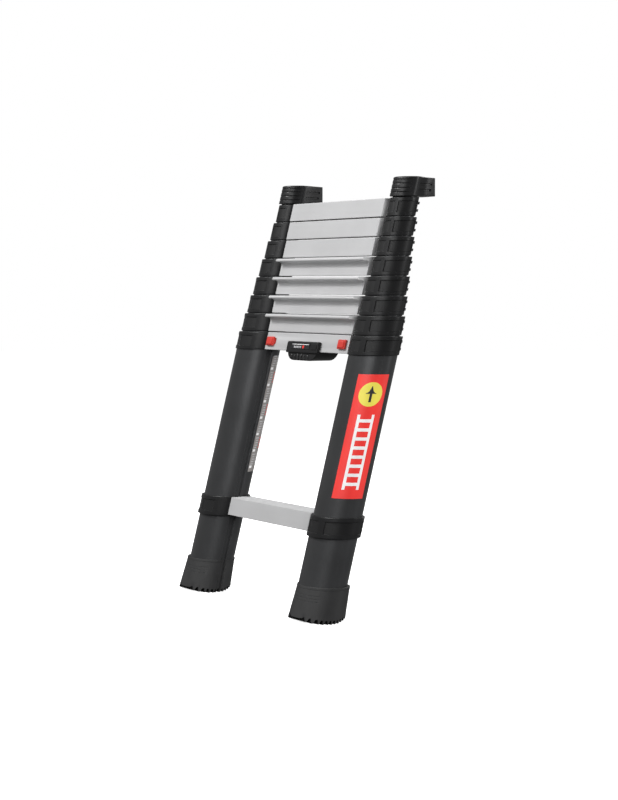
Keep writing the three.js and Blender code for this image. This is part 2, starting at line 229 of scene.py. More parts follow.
def lighter(colour, share):
    return tuple(min(1.0, c * share) for c in colour)


# Materials

def anodised_tube():
    """Charcoal satin aluminium with the faint lengthwise streaks of an extrusion."""
    colour = (0.050, 0.051, 0.053)
    material = new_material("charcoal_tube", colour, 0.36, metallic=0.5)
    streaks = noise(material, 1.0, stretch=(900, 900, 6))
    patches = noise(material, 14, detail=3)
    link(material, tint(material, patches, lighter(colour, 0.88), lighter(colour, 1.12)),
         shader_input(material, "Base Color"))
    link(material, spread(material, streaks, 0.31, 0.42), shader_input(material, "Roughness"))
    link(material, bump(material, streaks, 0.00004, 0.35), shader_input(material, "Normal"))
    return material


def moulded_plastic(name, colour, roughness, specular):
    """Black plastic with a fine spark-eroded grain."""
    material = new_material(name, colour, roughness, specular=specular)
    grain = noise(material, 2600, detail=2)
    patches = noise(material, 22, detail=3)
    link(material, tint(material, patches, lighter(colour, 0.85), lighter(colour, 1.18)),
         shader_input(material, "Base Color"))
    link(material, spread(material, grain, roughness - 0.07, roughness + 0.07),
         shader_input(material, "Roughness"))
    link(material, bump(material, grain, 0.00006, 0.4), shader_input(material, "Normal"))
    return material


def rung_aluminium():
    """Natural anodised aluminium, drawn along X."""
    colour = (0.61, 0.61, 0.615)
    material = new_material("rung_aluminium", colour, 0.45, metallic=0.3)
    streaks = noise(material, 1.0, stretch=(5, 1100, 1100))
    patches = noise(material, 9, detail=3)
    link(material, tint(material, patches, lighter(colour, 0.95), lighter(colour, 1.03)),
         shader_input(material, "Base Color"))
    link(material, spread(material, streaks, 0.4, 0.52), shader_input(material, "Roughness"))
    link(material, bump(material, streaks, 0.00003, 0.3), shader_input(material, "Normal"))
    return material


def moulded_rubber():
    """Matt rubber, a little dusty in patches."""
    colour = (0.017, 0.017, 0.0175)
    material = new_material("foot_rubber", colour, 0.62)
    grain = noise(material, 1500, detail=3)
    dust = noise(material, 40, detail=5)
    link(material, tint(material, dust, colour, lighter(colour, 1.5)), shader_input(material, "Base Color"))
    link(material, spread(material, dust, 0.55, 0.72), shader_input(material, "Roughness"))
    link(material, bump(material, grain, 0.00008, 0.4), shader_input(material, "Normal"))
    return material


def glossy_print(name, colour, roughness=0.38):
    """Printed film or semi-gloss plastic: even colour with a slight orange-peel surface."""
    material = new_material(name, colour, roughness)
    peel = noise(material, 700, detail=2)
    patches = noise(material, 30, detail=2)
    link(material, tint(material, patches, lighter(colour, 0.94), lighter(colour, 1.05)),
         shader_input(material, "Base Color"))
    link(material, spread(material, peel, roughness - 0.05, roughness + 0.05),
         shader_input(material, "Roughness"))
    link(material, bump(material, peel, 0.00003, 0.25), shader_input(material, "Normal"))
    return material


def turned_steel():
    """Bright steel with fine turning marks along X."""
    colour = (0.62, 0.63, 0.64)
    material = new_material("turned_steel", colour, 0.28, metallic=1.0)
    marks = noise(material, 1.0, stretch=(2200, 60, 60))
    link(material, tint(material, marks, lighter(colour, 0.9), lighter(colour, 1.08)),
         shader_input(material, "Base Color"))
    link(material, spread(material, marks, 0.22, 0.36), shader_input(material, "Roughness"))
    return material


MATERIALS = {
    "tube": anodised_tube(),
    "plastic": moulded_plastic("collar_plastic", (0.010, 0.010, 0.0106), 0.36, 0.28),
    # Darker base colour for the collars' recessed panels: painted shade in the recesses
    "inset": moulded_plastic("collar_panel_painted_shade", (0.007, 0.007, 0.0074), 0.5, 0.32),
    "rung": rung_aluminium(),
    "rubber": moulded_rubber(),
    # Near-black rubber for the sole's tread faces and notch walls: painted shade in the notches
    "painted_shade_rubber": moulded_plastic("tread_painted_shade", (0.002, 0.002, 0.0021), 0.8, 0.1),
    "red": glossy_print("button_red", (0.66, 0.045, 0.032)),
    "label_red": glossy_print("label_red", (0.90, 0.045, 0.038)),
    "white": glossy_print("print_white", (0.93, 0.93, 0.93)),
    "yellow": glossy_print("print_yellow", (0.85, 0.74, 0.10)),
    "ink": glossy_print("print_ink", (0.03, 0.03, 0.032)),
    "grey": glossy_print("print_grey", (0.55, 0.55, 0.56), 0.5),
    "strip": glossy_print("strip_film", (0.30, 0.28, 0.27), 0.36),
    # Light grey, non-metallic colour for the rungs' end faces: painted light on faces that the collars shade
    "painted_light_rung_end": moulded_plastic("rung_end_painted_light", (0.78, 0.78, 0.785), 0.5, 0.4),
    "steel": turned_steel(),
    "badge": glossy_print("badge_black", (0.016, 0.016, 0.018), 0.25),
}


# Mesh building

class Shell:
    """One piece's mesh while it is drawn, upright and in millimetres."""

    def __init__(self):
        self.mesh = bmesh.new()

    def ring(self, points):
        return [self.mesh.verts.new(point) for point in points]

    def bridge(self, low, high, material=0):
        for i, corner in enumerate(low):
            j = (i + 1) % len(low)
            self.mesh.faces.new((corner, low[j], high[j], high[i])).material_index = material

    def close(self, ring, material=0):
        self.mesh.faces.new(ring).material_index = material

    def stack(self, rings, closed=False, material=0, end_material=None):
        """Skin over rings from the lowest up. closed joins the last to the first, as in a tube's wall."""
        made = [self.ring(points) for points in rings]
        for low, high in zip(made, made[1:]):
            self.bridge(low, high, material)
        if closed:
            self.bridge(made[-1], made[0], material)
        else:
            ends = material if end_material is None else end_material
            self.close(made[0][::-1], ends)
            self.close(made[-1], ends)
        return made

    def round_edges(self, verts, radius, segments=3, angle=50):
        """Rounds these vertices' edges that are sharper than the angle."""
        self.mesh.normal_update()
        edges = {e for v in verts for e in v.link_edges if e.calc_face_angle(0) > math.radians(angle)}
        bmesh.ops.bevel(self.mesh, geom=list(edges), offset=radius, segments=segments, profile=0.5,
                        affect="EDGES", clamp_overlap=True)

    def prism(self, outline, bottom, top, radius=0.0):
        """Upright prism from an outline in X and Y."""
        rings = self.stack([[(x, y, z) for x, y in outline] for z in (bottom, top)])
        if radius:
            self.round_edges(rings[0] + rings[1], radius)

    def block(self, low, high, radius=0.8, segments=3, material=0):
        """Box with rounded edges."""
        made = bmesh.ops.create_cube(self.mesh, size=1)["verts"]
        for vert in made:
            vert.co = [a + (b - a) * (c + 0.5) for a, b, c in zip(low, high, vert.co)]
            for face in vert.link_faces:
                face.material_index = material
        if radius:
            self.round_edges(made, radius, segments)

    def rod(self, profile, y, z, sides=32):
        """Round rod along X, from a profile of (x, radius)."""
        turns = [2 * math.pi * i / sides for i in range(sides)]
        self.stack([[(x, y + radius * math.cos(t), z + radius * math.sin(t)) for t in turns]
                    for x, radius in profile])


SHARP_ANGLE = 38  # edges above this many degrees are shaded sharp
WELD_DISTANCE = 1e-4


def make_object(name, shell, materials, mirrored=False, sharp_angle=SHARP_ANGLE):
    """Leans the drawing, mirrors it for the left-hand side and makes it an object in metres."""
    mesh = shell.mesh
    bmesh.ops.remove_doubles(mesh, verts=mesh.verts, dist=WELD_DISTANCE)
    bmesh.ops.recalc_face_normals(mesh, faces=mesh.faces)
    for vert in mesh.verts:
        x, y, z = vert.co
        vert.co = (-x * MM if mirrored else x * MM, (y + z * LEAN + SHIFT_Y) * MM, z * MM)
    if mirrored:
        bmesh.ops.reverse_faces(mesh, faces=mesh.faces)
    data = bpy.data.meshes.new(name)
    mesh.to_mesh(data)
    mesh.free()
    data.shade_smooth()
    data.set_sharp_from_angle(angle=math.radians(sharp_angle))
    for slot_name in materials:
        data.materials.append(MATERIALS[slot_name])
    made = bpy.data.objects.new(name, data)
    bpy.context.scene.collection.objects.link(made)
    return made


def cut(made, cutter):
    """Takes the cutter out of the piece for good."""
    boolean = made.modifiers.new("cut", "BOOLEAN")
    boolean.operation = "DIFFERENCE"
    boolean.solver = "EXACT"
    boolean.object = cutter
    bpy.context.view_layer.update()
    graph = bpy.context.evaluated_depsgraph_get()
    result = bpy.data.meshes.new_from_object(made.evaluated_get(graph))
    made.modifiers.clear()
    made.data = result
    bpy.data.objects.remove(cutter)


def finish_piece(made, body, slot, *nodes):
    made.modifiers.new("even_shading", "WEIGHTED_NORMAL").keep_sharp = True
    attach(made, body)
    if nodes:
        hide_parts(*nodes)


def both_sides(name, body, slot, draw, materials=None, sharp_angle=SHARP_ANGLE):
    """The right-hand and the left-hand copy of a CAD node's finer mesh. draw returns a Shell."""
    pieces = []
    for side in ("right", "left"):
        node_name = f"{side}_{name}"
        own_body = body.format(side=side)
        made = make_object(node_name + "_look", draw(), materials or [slot], side == "left", sharp_angle)
        finish_piece(made, own_body, slot, node_name)
        pieces.append(made)
    return pieces


# Outlines round a stile. The angle runs from the outer side, 0, by the front, 90, to the inner side, 180.

def smooth_step(value):
    held = min(1.0, max(0.0, value))
    return held * held * (3 - 2 * held)


def groove_dip(y):
    """Depth of the groove down the stile's inner side."""
    return GROOVE_DEPTH * smooth_step(min(y - GROOVE_FRONT, GROOVE_REAR - y) / GROOVE_SLOPE)


def oval_point(centre, width, depth, angle, grooved=True):
    turn = math.radians(angle)
    x, y = centre + width * math.cos(turn), -depth * math.sin(turn)
    if grooved and math.cos(turn) < 0:
        x += groove_dip(y)
    return x, y


def stile_angles(depth, extra=()):
    """Angles that follow the oval evenly and the groove closely."""
    def inner_angle(y):
        return 180 + math.degrees(math.asin(y / depth))
    start, end, count = GROOVE_FRONT - GROOVE_MARGIN, GROOVE_REAR + GROOVE_MARGIN, 22
    fine = [inner_angle(start + (end - start) * i / count) for i in range(count + 1)]
    even = [a for a in range(0, 360, 4) if not fine[0] - 2 < a < fine[-1] + 2]
    return sorted(set(even) | set(fine) | {a % 360 for a in extra})


def ring_at(centre, width, depth, angles, z, grooved=True):
    return [(*oval_point(centre, width, depth, a, grooved), z) for a in angles]


# Tubes

def draw_tube(section):
    low, high = box_mm(f"right_tube_{section}")
    bottom, top = low[2], high[2]
    centre, width, depth = stile_centre(section), half_width(section), half_depth(section)
    angles = stile_angles(depth)
    chamfer = 0.35
    shell = Shell()

    def ring(offset, z):
        return ring_at(centre, width + offset, depth + offset, angles, z)
    shell.stack([
        ring(-TUBE_WALL, bottom), ring(-chamfer, bottom), ring(0, bottom + chamfer),
        ring(0, top - chamfer), ring(-chamfer, top), ring(-TUBE_WALL, top),
    ], closed=True)
    return shell


# Collars

PANEL_DEPTH = 1.3
PANEL_HEIGHT_SHARE = 0.62
SIDE_PANEL = (-38, 65)
FRONT_PANEL = (79, 119)
PANEL_TURN = 1.0
PANEL_EDGE_ANGLE = 1.2
PANEL_EDGE_HEIGHT = 0.7
COLLAR_EDGE = 0.9
MOUTH_CLEARANCE = 0.5
NECK_SINK = 0.8
LUG_ANGLE = -66
LUG_SHARES = (0.3, 0.7)


def panel_share(angle, span):
    """1 inside a recessed panel's span of angle, 0 outside it, sloping at its ends."""
    turned = (angle + 180) % 360 - 180
    return smooth_step(min(turned - span[0], span[1] - turned) / PANEL_EDGE_ANGLE)


def draw_collar(rung):
    section = max(1, rung - 1)
    low, high = box_mm(f"right_collar_{rung}")
    bottom, top = low[2], high[2]
    end = rung_end(rung)
    centre, width, depth = stile_centre(section), half_width(section), half_depth(section)
    wall = CLAMP_WALL if rung == 1 else COLLAR_WALL
    turn = PANEL_TURN * (rung - 1)
    side_panel = (SIDE_PANEL[0], SIDE_PANEL[1] - turn)
    front_panel = (FRONT_PANEL[0] - turn, FRONT_PANEL[1])
    panel_edges = [a + s * PANEL_EDGE_ANGLE * t for span in (side_panel, front_panel)
                   for a, s in zip(span, (1, -1)) for t in (0, 0.5, 1)]
    angles = stile_angles(depth, panel_edges)
    middle, half = (bottom + top) / 2, (top - bottom) * PANEL_HEIGHT_SHARE / 2

    def outer(offset, z):
        into = smooth_step((half - abs(z - middle)) / PANEL_EDGE_HEIGHT)
        points = []
        for a in angles:
            recess = PANEL_DEPTH * into * max(panel_share(a, side_panel), panel_share(a, front_panel))
            out = wall + offset - recess
            x, y = oval_point(centre, width + out, depth + out, a, False)
            points.append((max(x, end + 0.2) if rung == 1 else x, y, z))
        return points

    def inner(offset, z):
        return ring_at(centre, width + offset, depth + offset, angles, z)

    edge = COLLAR_EDGE
    turns = [math.radians(t) for t in (0, 30, 60, 90)]
    rings = [inner(GAP, top - COLLAR_LIP), inner(GAP, bottom)]
    rings += [outer(edge * (math.cos(t) - 1), bottom + edge * (1 - math.sin(t))) for t in turns[::-1]]
    rings += [outer(0, middle - half + t * PANEL_EDGE_HEIGHT) for t in (0, 0.5, 1)]
    panel_ring = len(rings) - 1
    rings += [outer(0, middle + half - t * PANEL_EDGE_HEIGHT) for t in (1, 0.5, 0)]
    rings += [outer(edge * (math.cos(t) - 1), top - edge * (1 - math.sin(t))) for t in turns]
    shell = Shell()
    if rung == 1:
        rings.append(inner(GAP, top))
    elif rung == RUNGS:
        rings += [inner(-TUBE_WALL, top), inner(-TUBE_WALL, top - COLLAR_LIP)]
    else:
        following = section + 1
        mouth = (stile_centre(following), half_width(following) + MOUTH_CLEARANCE,
                 half_depth(following) + MOUTH_CLEARANCE)
        rings += [ring_at(*mouth, angles, top), ring_at(*mouth, angles, top - COLLAR_LIP)]
    made = shell.stack(rings, closed=True)
    # Faces inside the recessed panels take the darker second material: painted shade in the recesses
    for j, a in enumerate(angles):
        k = (j + 1) % len(angles)
        middle_angle = a + ((angles[k] - a) % 360) / 2
        if max(panel_share(middle_angle, side_panel), panel_share(middle_angle, front_panel)) > 0.9:
            low_corner, high_corner = made[panel_ring][j], made[panel_ring + 1][k]
            for face in set(low_corner.link_faces) & set(high_corner.link_faces):
                face.material_index = 1
    add_neck(shell, end, centre, width + wall, depth + wall, rung_heights(rung))
    if rung > 1:
        add_lugs(shell, centre, width + wall, depth + wall, bottom, top)
    return shell


def add_neck(shell, end, centre, width, depth, heights):
    """Block that joins the sleeve to the rung's end."""
    front = RUNG_FRONT + NECK_SETBACK
    count = 10
    outline = [(end, RUNG_REAR), (end, front)]
    for i in range(count + 1):
        y = front + (RUNG_REAR - front) * i / count
        inside = 1 - min(1, (y / (depth - NECK_SINK)) ** 2)
        outline.append((min(centre - (width - NECK_SINK) * math.sqrt(inside), end + NECK_DEPTH), y))
    shell.prism(outline, *heights, radius=0.7)


def add_lugs(shell, centre, width, depth, bottom, top):
    """Two small lugs behind each upper collar, where its two halves clip together."""
    x, y = oval_point(centre, width, depth, LUG_ANGLE, False)
    for share in LUG_SHARES:
        z = bottom + (top - bottom) * share
        shell.block((x - 3, y - 1.5, z - 2.2), (x + 3, y + 1.9, z + 2.2), 0.6, 2)


# Rungs

TREAD_RIB_PITCH = 2.6
TREAD_RIB_DEPTH = 0.6
TREAD_RIB_CORNERS = ((0, 0), (0.4, 1), (1.0, 1), (1.4, 0))  # (y, share of the depth)
TREAD_MARGIN = 3
RUNG_CORNER = 1.1
RUNG_END_CHAMFER = 0.3
RUNG_END_PLUG = 3
SLOT_REACH = (-5, 15)  # from the button's stem
SLOT_HALF = 5.5


def arc(y, z, radius, start, end, count=6):
    """Points along an arc in Y and Z, the angle turning from +Y towards +Z."""
    turns = [math.radians(start + (end - start) * i / count) for i in range(count + 1)]
    return [(y + radius * math.cos(t), z + radius * math.sin(t)) for t in turns]


def rung_outline(rung):
    """Side outline from the bottom rear, by the front and over the ribbed tread."""
    bottom, top = rung_heights(rung)
    r = RUNG_CORNER
    points = arc(RUNG_REAR - r, bottom + r, r, 0, -90)
    points += arc(RUNG_FRONT + r, bottom + r, r, 270, 180)
    first_rib = RUNG_FRONT + TREAD_MARGIN
    if rung in LIPPED_RUNGS:
        nose = LIP_THICKNESS / 2
        underside = top - LIP_THICKNESS
        points += arc(RUNG_FRONT - COVE_RADIUS, underside - COVE_RADIUS, COVE_RADIUS, 0, 90, 10)
        points += arc(RUNG_FRONT - LIP_REACH + nose, top - nose, nose, 270, 90, 12)
        first_rib -= LIP_REACH - 2
    else:
        points += arc(RUNG_FRONT + r, top - r, r, 180, 90)
    count = int((RUNG_REAR - TREAD_MARGIN - first_rib) / TREAD_RIB_PITCH)
    for i in range(count):
        y = first_rib + TREAD_RIB_PITCH * i
        points += [(y + along, top - TREAD_RIB_DEPTH * share) for along, share in TREAD_RIB_CORNERS]
    return points + arc(RUNG_REAR - r, top - r, r, 90, 0)


def add_rung(rung):
    half = rung_end(rung) - GAP
    shell = Shell()
    chamfer = RUNG_END_CHAMFER
    outline = rung_outline(rung)
    middle_y = sum(y for y, z in outline) / len(outline)
    middle_z = sum(z for y, z in outline) / len(outline)

    def section(x, shrink):
        return [(x, y - shrink * math.copysign(1, y - middle_y), z - shrink * math.copysign(1, z - middle_z))
                for y, z in outline]
    # The end faces take the light grey second material: painted light on faces that the collars shade
    shell.stack([section(-half, chamfer), section(chamfer - half, 0),
                 section(half - chamfer, 0), section(half, chamfer)], end_material=1)
    made = make_object(f"rung_{rung}_look", shell, ["rung", "painted_light_rung_end"])
    if rung == 2:
        cut(made, button_space())
    finish_piece(made, f"section_{max(1, rung - 1)}", "rung", f"rung_{rung}")


def button_space():
    """What is hollow in the second rung: its inside, and the slots that the buttons slide in."""
    bottom, top = rung_heights(2)
    stem_low = box_mm("right_release_button")[0][0]
    middle = (bottom + top) / 2
    shell = Shell()
    inside = rung_end(2) - RUNG_END_PLUG
    shell.block((-inside, RUNG_FRONT + RUNG_WALL, bottom + RUNG_WALL),
                (inside, RUNG_REAR - RUNG_WALL, top - RUNG_WALL), 0)
    for side in (-1, 1):
        near, far = sorted(side * (stem_low + reach) for reach in SLOT_REACH)
        shell.block((near, RUNG_FRONT - 2, middle - SLOT_HALF), (far, RUNG_FRONT + 3, middle + SLOT_HALF), 0)
    return make_object("button_space", shell, ["rung"])


# Feet

FOOT_SKIN = 0.4
FOOT_CUFF = 4
FOOT_LINES = (33, 37.5, 42)
FOOT_LINE_HALF = 0.45
FOOT_LINE_DEPTH = 0.5
NOTCH_DEPTH = 6.2
NOTCH_SLANT = 1.5
NOTCH_REACH = 8
GROOVE_HALF = 1.15
NOTCH_LAND = 2.9
FOOT_LIP = (  # (height, how far it stands out)
    (FOOT_TOP - FOOT_CUFF + 0.4, 0.25), (FOOT_TOP - 0.8, 0.25), (FOOT_TOP - 0.25, 0), (FOOT_TOP, -0.6),
)
FOOT_SOCKET_SHOWN = 6


def foot_flare(z):
    """How far the boot stands out beyond its top, at a height."""
    knee, upper = FOOT_TOP / 2, FOOT_TOP - FOOT_CUFF
    if z <= TREAD_DEPTH:
        return FOOT_FLARE
    if z <= knee:
        return FOOT_FLARE * (1 - 0.5 * (z - TREAD_DEPTH) / (knee - TREAD_DEPTH))
    return FOOT_FLARE * 0.5 * max(0, upper - z) / (upper - knee)


def sole_points():
    """The rocker sole's side outline: (y, tread's z, 1 in a notch or 0 on a tread) of each corner."""
    def tread_y(i):
        return (i - (TREAD_COUNT - 1) / 2) * TREAD_PITCH

    def rise(y):
        return (y - tread_y(LOWEST_TREAD)) ** 2 / (2 * SOLE_RADIUS)
    points = []
    for i in range(TREAD_COUNT):
        y = tread_y(i)
        points += [(y - NOTCH_LAND / 2, rise(y), 0), (y + NOTCH_LAND / 2, rise(y), 0)]
        if i < TREAD_COUNT - 1:
            between = y + TREAD_PITCH / 2 + NOTCH_SLANT
            points += [(between - GROOVE_HALF, rise(y), 1), (between + GROOVE_HALF, rise(y), 1)]
    return points


def draw_foot():
    section = 1
    centre = stile_centre(section) + (FOOT_OUTER_WALL - FOOT_INNER_WALL) / 2
    width = half_width(section) + (FOOT_OUTER_WALL + FOOT_INNER_WALL) / 2 - FOOT_SKIN
    depth = half_depth(section) + FOOT_DEPTH_WALL - FOOT_SKIN
    sole = sole_points()
    sole_depth = depth + FOOT_FLARE

    def sole_z(y, notch_depth):
        inward = smooth_step((sole_depth - 1 - abs(y)) / 3)
        for (y0, z0, in_notch_0), (y1, z1, in_notch_1) in zip(sole, sole[1:]):
            if y0 <= y <= y1:
                share = (y - y0) / (y1 - y0)
                in_notch = in_notch_0 + (in_notch_1 - in_notch_0) * share
                lifted = notch_depth * in_notch * inward + TREAD_DEPTH * (1 - inward)
                return z0 + (z1 - z0) * share + lifted
        return sole[0][1] + TREAD_DEPTH

    steep = [math.degrees(math.asin(-y / sole_depth))
             for y, z, in_notch in sole if abs(y) < sole_depth * 0.985]
    even = [-90 + 4.5 * i for i in range(41)]
    groove = [math.degrees(math.asin(-(GROOVE_FRONT + i) / sole_depth)) for i in range(12)]
    latitudes = sorted(set(steep) | {a for a in even + groove if min(abs(a - b) for b in steep) > 0.4})
    angles = latitudes + [180 - a for a in latitudes[-2:0:-1]]

    def point(angle, z, offset=0.0):
        flare = foot_flare(z) + offset
        return (*oval_point(centre, width + flare, depth + flare, angle), z)

    def line_dip(angle, z):
        beside = min(abs(z - line) for line in FOOT_LINES)
        front = smooth_step((52 - abs(angle - 92)) / 10)
        return -FOOT_LINE_DEPTH * front if beside < 0.01 else 0

    shell = Shell()
    bottom_ring = []
    for angle in angles:
        y = -sole_depth * math.sin(math.radians(angle))
        bottom_ring.append(point(angle, sole_z(y, NOTCH_DEPTH)))
    line_rows = [line + step * FOOT_LINE_HALF for line in FOOT_LINES for step in (-1, 0, 1)]
    heights = sorted([17, 22, FOOT_TOP / 2, *line_rows, FOOT_TOP - FOOT_CUFF])
    rings = [bottom_ring]
    rings += [[point(a, z, line_dip(a, z)) for a in angles] for z in heights]
    rings += [[point(a, z, offset) for a in angles] for z, offset in FOOT_LIP]
    socket = (stile_centre(section), half_width(section) + GAP, half_depth(section) + GAP)
    rings += [ring_at(*socket, angles, z) for z in (FOOT_TOP, FOOT_TOP - FOOT_SOCKET_SHOWN)]
    made = [shell.ring(ring) for ring in rings]
    for low, high in zip(made, made[1:]):
        shell.bridge(low, high)
    shell.close(made[-1])
    last = len(latitudes) - 1
    outer_side = made[0][:last + 1]
    inner_side = [outer_side[0], *made[0][:last:-1], outer_side[last]]
    ribs = []
    for outside, inside in zip(outer_side, inner_side):
        if outside is inside:
            ribs.append([outside])
            continue
        y = outside.co.y
        step = min(NOTCH_REACH, 0.3 * (outside.co.x - inside.co.x))
        between = [shell.mesh.verts.new((x, y, sole_z(y, TREAD_DEPTH / 2)))
                   for x in (outside.co.x - step, inside.co.x + step)]
        ribs.append([outside, *between, inside])
    for front, rear in zip(ribs, ribs[1:]):
        if len(front) == 1:
            front = front * 4
        if len(rear) == 1:
            rear = rear * 4
        for j in range(3):
            corners = dict.fromkeys((front[j], rear[j], rear[j + 1], front[j + 1]))
            # Tread faces and notch walls take the near-black second material: painted shade in the notches
            shell.mesh.faces.new(corners).material_index = 1
    return shell


# Top caps

CAP_RIM = 2.4
CAP_RIB_SHARES = (0.2, 0.42, 0.64, 0.84)
CAP_RIB_HALF = 0.9
CAP_RIB_DEPTH = 0.9
CAP_SLOT_SHARES = (0.3, 0.6)
CAP_SLOT_HALF = 1.6
CAP_SLOT_DEPTH = 2.0
CAP_SLOT_ENDS = (8, 35)
# The rounded top, as (inset, share of the rim's height)
CAP_CROWN = ((0.25, 0.45), (1.0, 0.75), (2.4, 0.9), (6, 0.97), (12, 1.0))


def cap_outline(width, depth, pad_y):
    """Plan outline as (x, y, how far ribs show, how far slots show), from the outer side by the front."""
    points = []
    for i in range(31):
        angle = 6 * i
        x, y = oval_point(0, width, depth, angle, False)
        points.append((x, y, smooth_step((angle - 8) / 26) * smooth_step((178 - angle) / 8), 0))
    corner = 2.5
    rows = [3.0, CAP_SLOT_ENDS[0] - 0.4, CAP_SLOT_ENDS[0], CAP_SLOT_ENDS[0] + 0.4, 15, 21, 27,
            CAP_SLOT_ENDS[1] - 0.4, CAP_SLOT_ENDS[1], CAP_SLOT_ENDS[1] + 0.4]

    def slot_share(y):
        return smooth_step((min(y - CAP_SLOT_ENDS[0], CAP_SLOT_ENDS[1] - y) + 0.4) / 0.8)
    inner = [(-CAP_ARM_INNER - 1.4 * smooth_step((20 - y) / 20), y, 0, slot_share(y)) for y in rows]
    outer = [(CAP_ARM_OUTER + (width - CAP_ARM_OUTER) * smooth_step((30 - y) / 32), y, 0, slot_share(y))
             for y in rows]
    turns = [math.radians(15 * i) for i in range(7)]
    rear_inner = [(-CAP_ARM_INNER + corner * (1 - math.cos(t)), pad_y - corner * (1 - math.sin(t)), 0, 0)
                  for t in turns]
    rear_outer = [(CAP_ARM_OUTER - corner * (1 - math.cos(t)), pad_y - corner * (1 - math.sin(t)), 0, 0)
                  for t in turns]
    return points + inner + rear_inner + rear_outer[::-1] + outer[::-1]


def draw_cap():
    top = box_mm("right_top_cap")[1][2]
    bottom = rung_heights(RUNGS)[1] + 2
    centre = stile_centre(SECTIONS)
    width = half_width(SECTIONS) + COLLAR_WALL + CAP_OVERHANG
    depth = half_depth(SECTIONS) + COLLAR_WALL + CAP_OVERHANG
    height = top - bottom
    rim = top - CAP_RIM

    def ring(z, inset=0.0, level=None):
        pad_y = CAP_PAD_REACH - (z - bottom) * LEAN
        outline = cap_outline(width, depth, pad_y)
        share = (z - bottom) / height
        rib = max(smooth_step(1 - abs(share - s) * height / CAP_RIB_HALF) for s in CAP_RIB_SHARES)
        slot = max(smooth_step((CAP_SLOT_HALF + 0.3 - abs(share - s) * height) / 0.6)
                   for s in CAP_SLOT_SHARES)
        points = []
        for x, y, ribbed, slotted in outline:
            into = inset + CAP_RIB_DEPTH * rib * ribbed
            reach = math.hypot(x, y) or 1
            sideways = CAP_SLOT_DEPTH * slot * slotted
            x_in = x - into * x / reach - math.copysign(sideways, x)
            y_in = y - into * y / reach
            lowered = 0 if level is None else level * smooth_step(y / CAP_PAD_REACH)
            points.append((centre + x_in, y_in, z - lowered))
        return points

    rows = {bottom, bottom + 0.5, rim}
    for share in CAP_RIB_SHARES:
        rows |= {bottom + height * share + CAP_RIB_HALF * step for step in (-1, -0.5, 0, 0.5, 1)}
    for share in CAP_SLOT_SHARES:
        rows |= {bottom + height * share + side * (CAP_SLOT_HALF + step)
                 for side in (-1, 1) for step in (-0.3, 0.3)}
    rows = sorted(z for z in rows if z <= rim)
    rings = [ring(bottom, 0.5)] + [ring(z) for z in rows if z > bottom]
    for inset, share in CAP_CROWN:
        rings.append(ring(rim + CAP_RIM * share, inset, 2.0 * share))
    shell = Shell()
    shell.stack(rings)
    neck = stile_angles(half_depth(SECTIONS))
    inset = TUBE_WALL + GAP
    shell.stack([ring_at(centre, half_width(SECTIONS) - inset, half_depth(SECTIONS) - inset, neck, z)
                 for z in (bottom - 6, bottom + 1)])
    return shell


# Release buttons, lock pins and springs

BUTTON_FROM_END = 19.2
STEM_LENGTH = 10
PLATE = (12, 3.6, 7.5)  # half width, depth and half height of the button's lower step
PUSH = (9.5, 5.5, 5.6)  # the same for its raised middle


def draw_button():
    low, high = box_mm("right_release_button")
    middle = (low[2] + high[2]) / 2
    centre = rung_end(2) - BUTTON_FROM_END
    face = RUNG_FRONT - GAP
    shell = Shell()
    for (half, proud, tall), back, radius, segments in ((PLATE, 0, 1.1, 3), (PUSH, -2, 1.8, 4)):
        shell.block((centre - half, face - proud, middle - tall),
                    (centre + half, face + back, middle + tall), radius, segments)
    near, far = low[0], low[0] + STEM_LENGTH
    shell.block((near, face - 1, middle - 4.5), (far, RUNG_FRONT + 4, middle + 4.5), 0)
    shell.block((near, RUNG_FRONT + RUNG_WALL + GAP, middle - 10),
                (far, RUNG_REAR - RUNG_WALL - GAP, middle + 10), 0.5)
    return shell


def draw_pin():
    low, high = box_mm("right_lock_pin")
    middle = (low[2] + high[2]) / 2
    radius = PIN_RADIUS
    shell = Shell()
    shell.rod([(low[0], radius - 0.4), (low[0] + 0.4, radius), (high[0] - 1.6, radius),
               (high[0] - 0.6, radius - 0.5), (high[0], radius - 1.4)], PIN_Y, middle)
    return shell


SPRING_TURNS = 6
SPRING_WIRE = 1.0
SPRING_STEPS = 20


def draw_spring():
    low, high = box_mm("right_lock_spring")
    middle = (low[2] + high[2]) / 2
    coil = (high[2] - low[2]) / 2 - SPRING_WIRE
    start, end = low[0] + SPRING_WIRE, high[0] - SPRING_WIRE
    count = SPRING_TURNS * SPRING_STEPS
    wire_turns = [2 * math.pi * i / 10 for i in range(10)]
    rings = []
    for i in range(count + 1):
        turn = 2 * math.pi * i / SPRING_STEPS
        x = start + (end - start) * i / count
        rings.append([(x + SPRING_WIRE * math.sin(w),
                       PIN_Y + (coil + SPRING_WIRE * math.cos(w)) * math.cos(turn),
                       middle + (coil + SPRING_WIRE * math.cos(w)) * math.sin(turn)) for w in wire_turns])
    shell = Shell()
    shell.stack(rings)
    return shell


def draw_spring_stop():
    low, high = box_mm("right_spring_stop")
    shell = Shell()
    front, rear = RUNG_FRONT + RUNG_WALL + GAP, RUNG_REAR - RUNG_WALL - GAP
    shell.block((low[0], front, low[2]), (high[0], rear, high[2]), 0.6, 2)
    return shell


def add_springs():
    for side, piece in zip((1, -1), both_sides("lock_spring", "section_1", "steel", draw_spring)):
        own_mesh(piece)


# Carry handle and badge

HANDLE_THICKNESS = 6.5
GRIP_HALF_TOP = 51
GRIP_HALF_BOTTOM = 26
GRIP_DROP = 14.5
GRIP_FULLNESS = 0.9
GRIP_INSET = 3
GRIP_GROOVES = 6
GRIP_GROOVE_PITCH = 11
GRIP_GROOVE_START = -30
GRIP_GROOVE_WIDTH = 3
GRIP_GROOVE_SLANT = 6
PLATE_HALF = 53
WINDOW = (-35.2, 27.2)  # ends of the badge's window


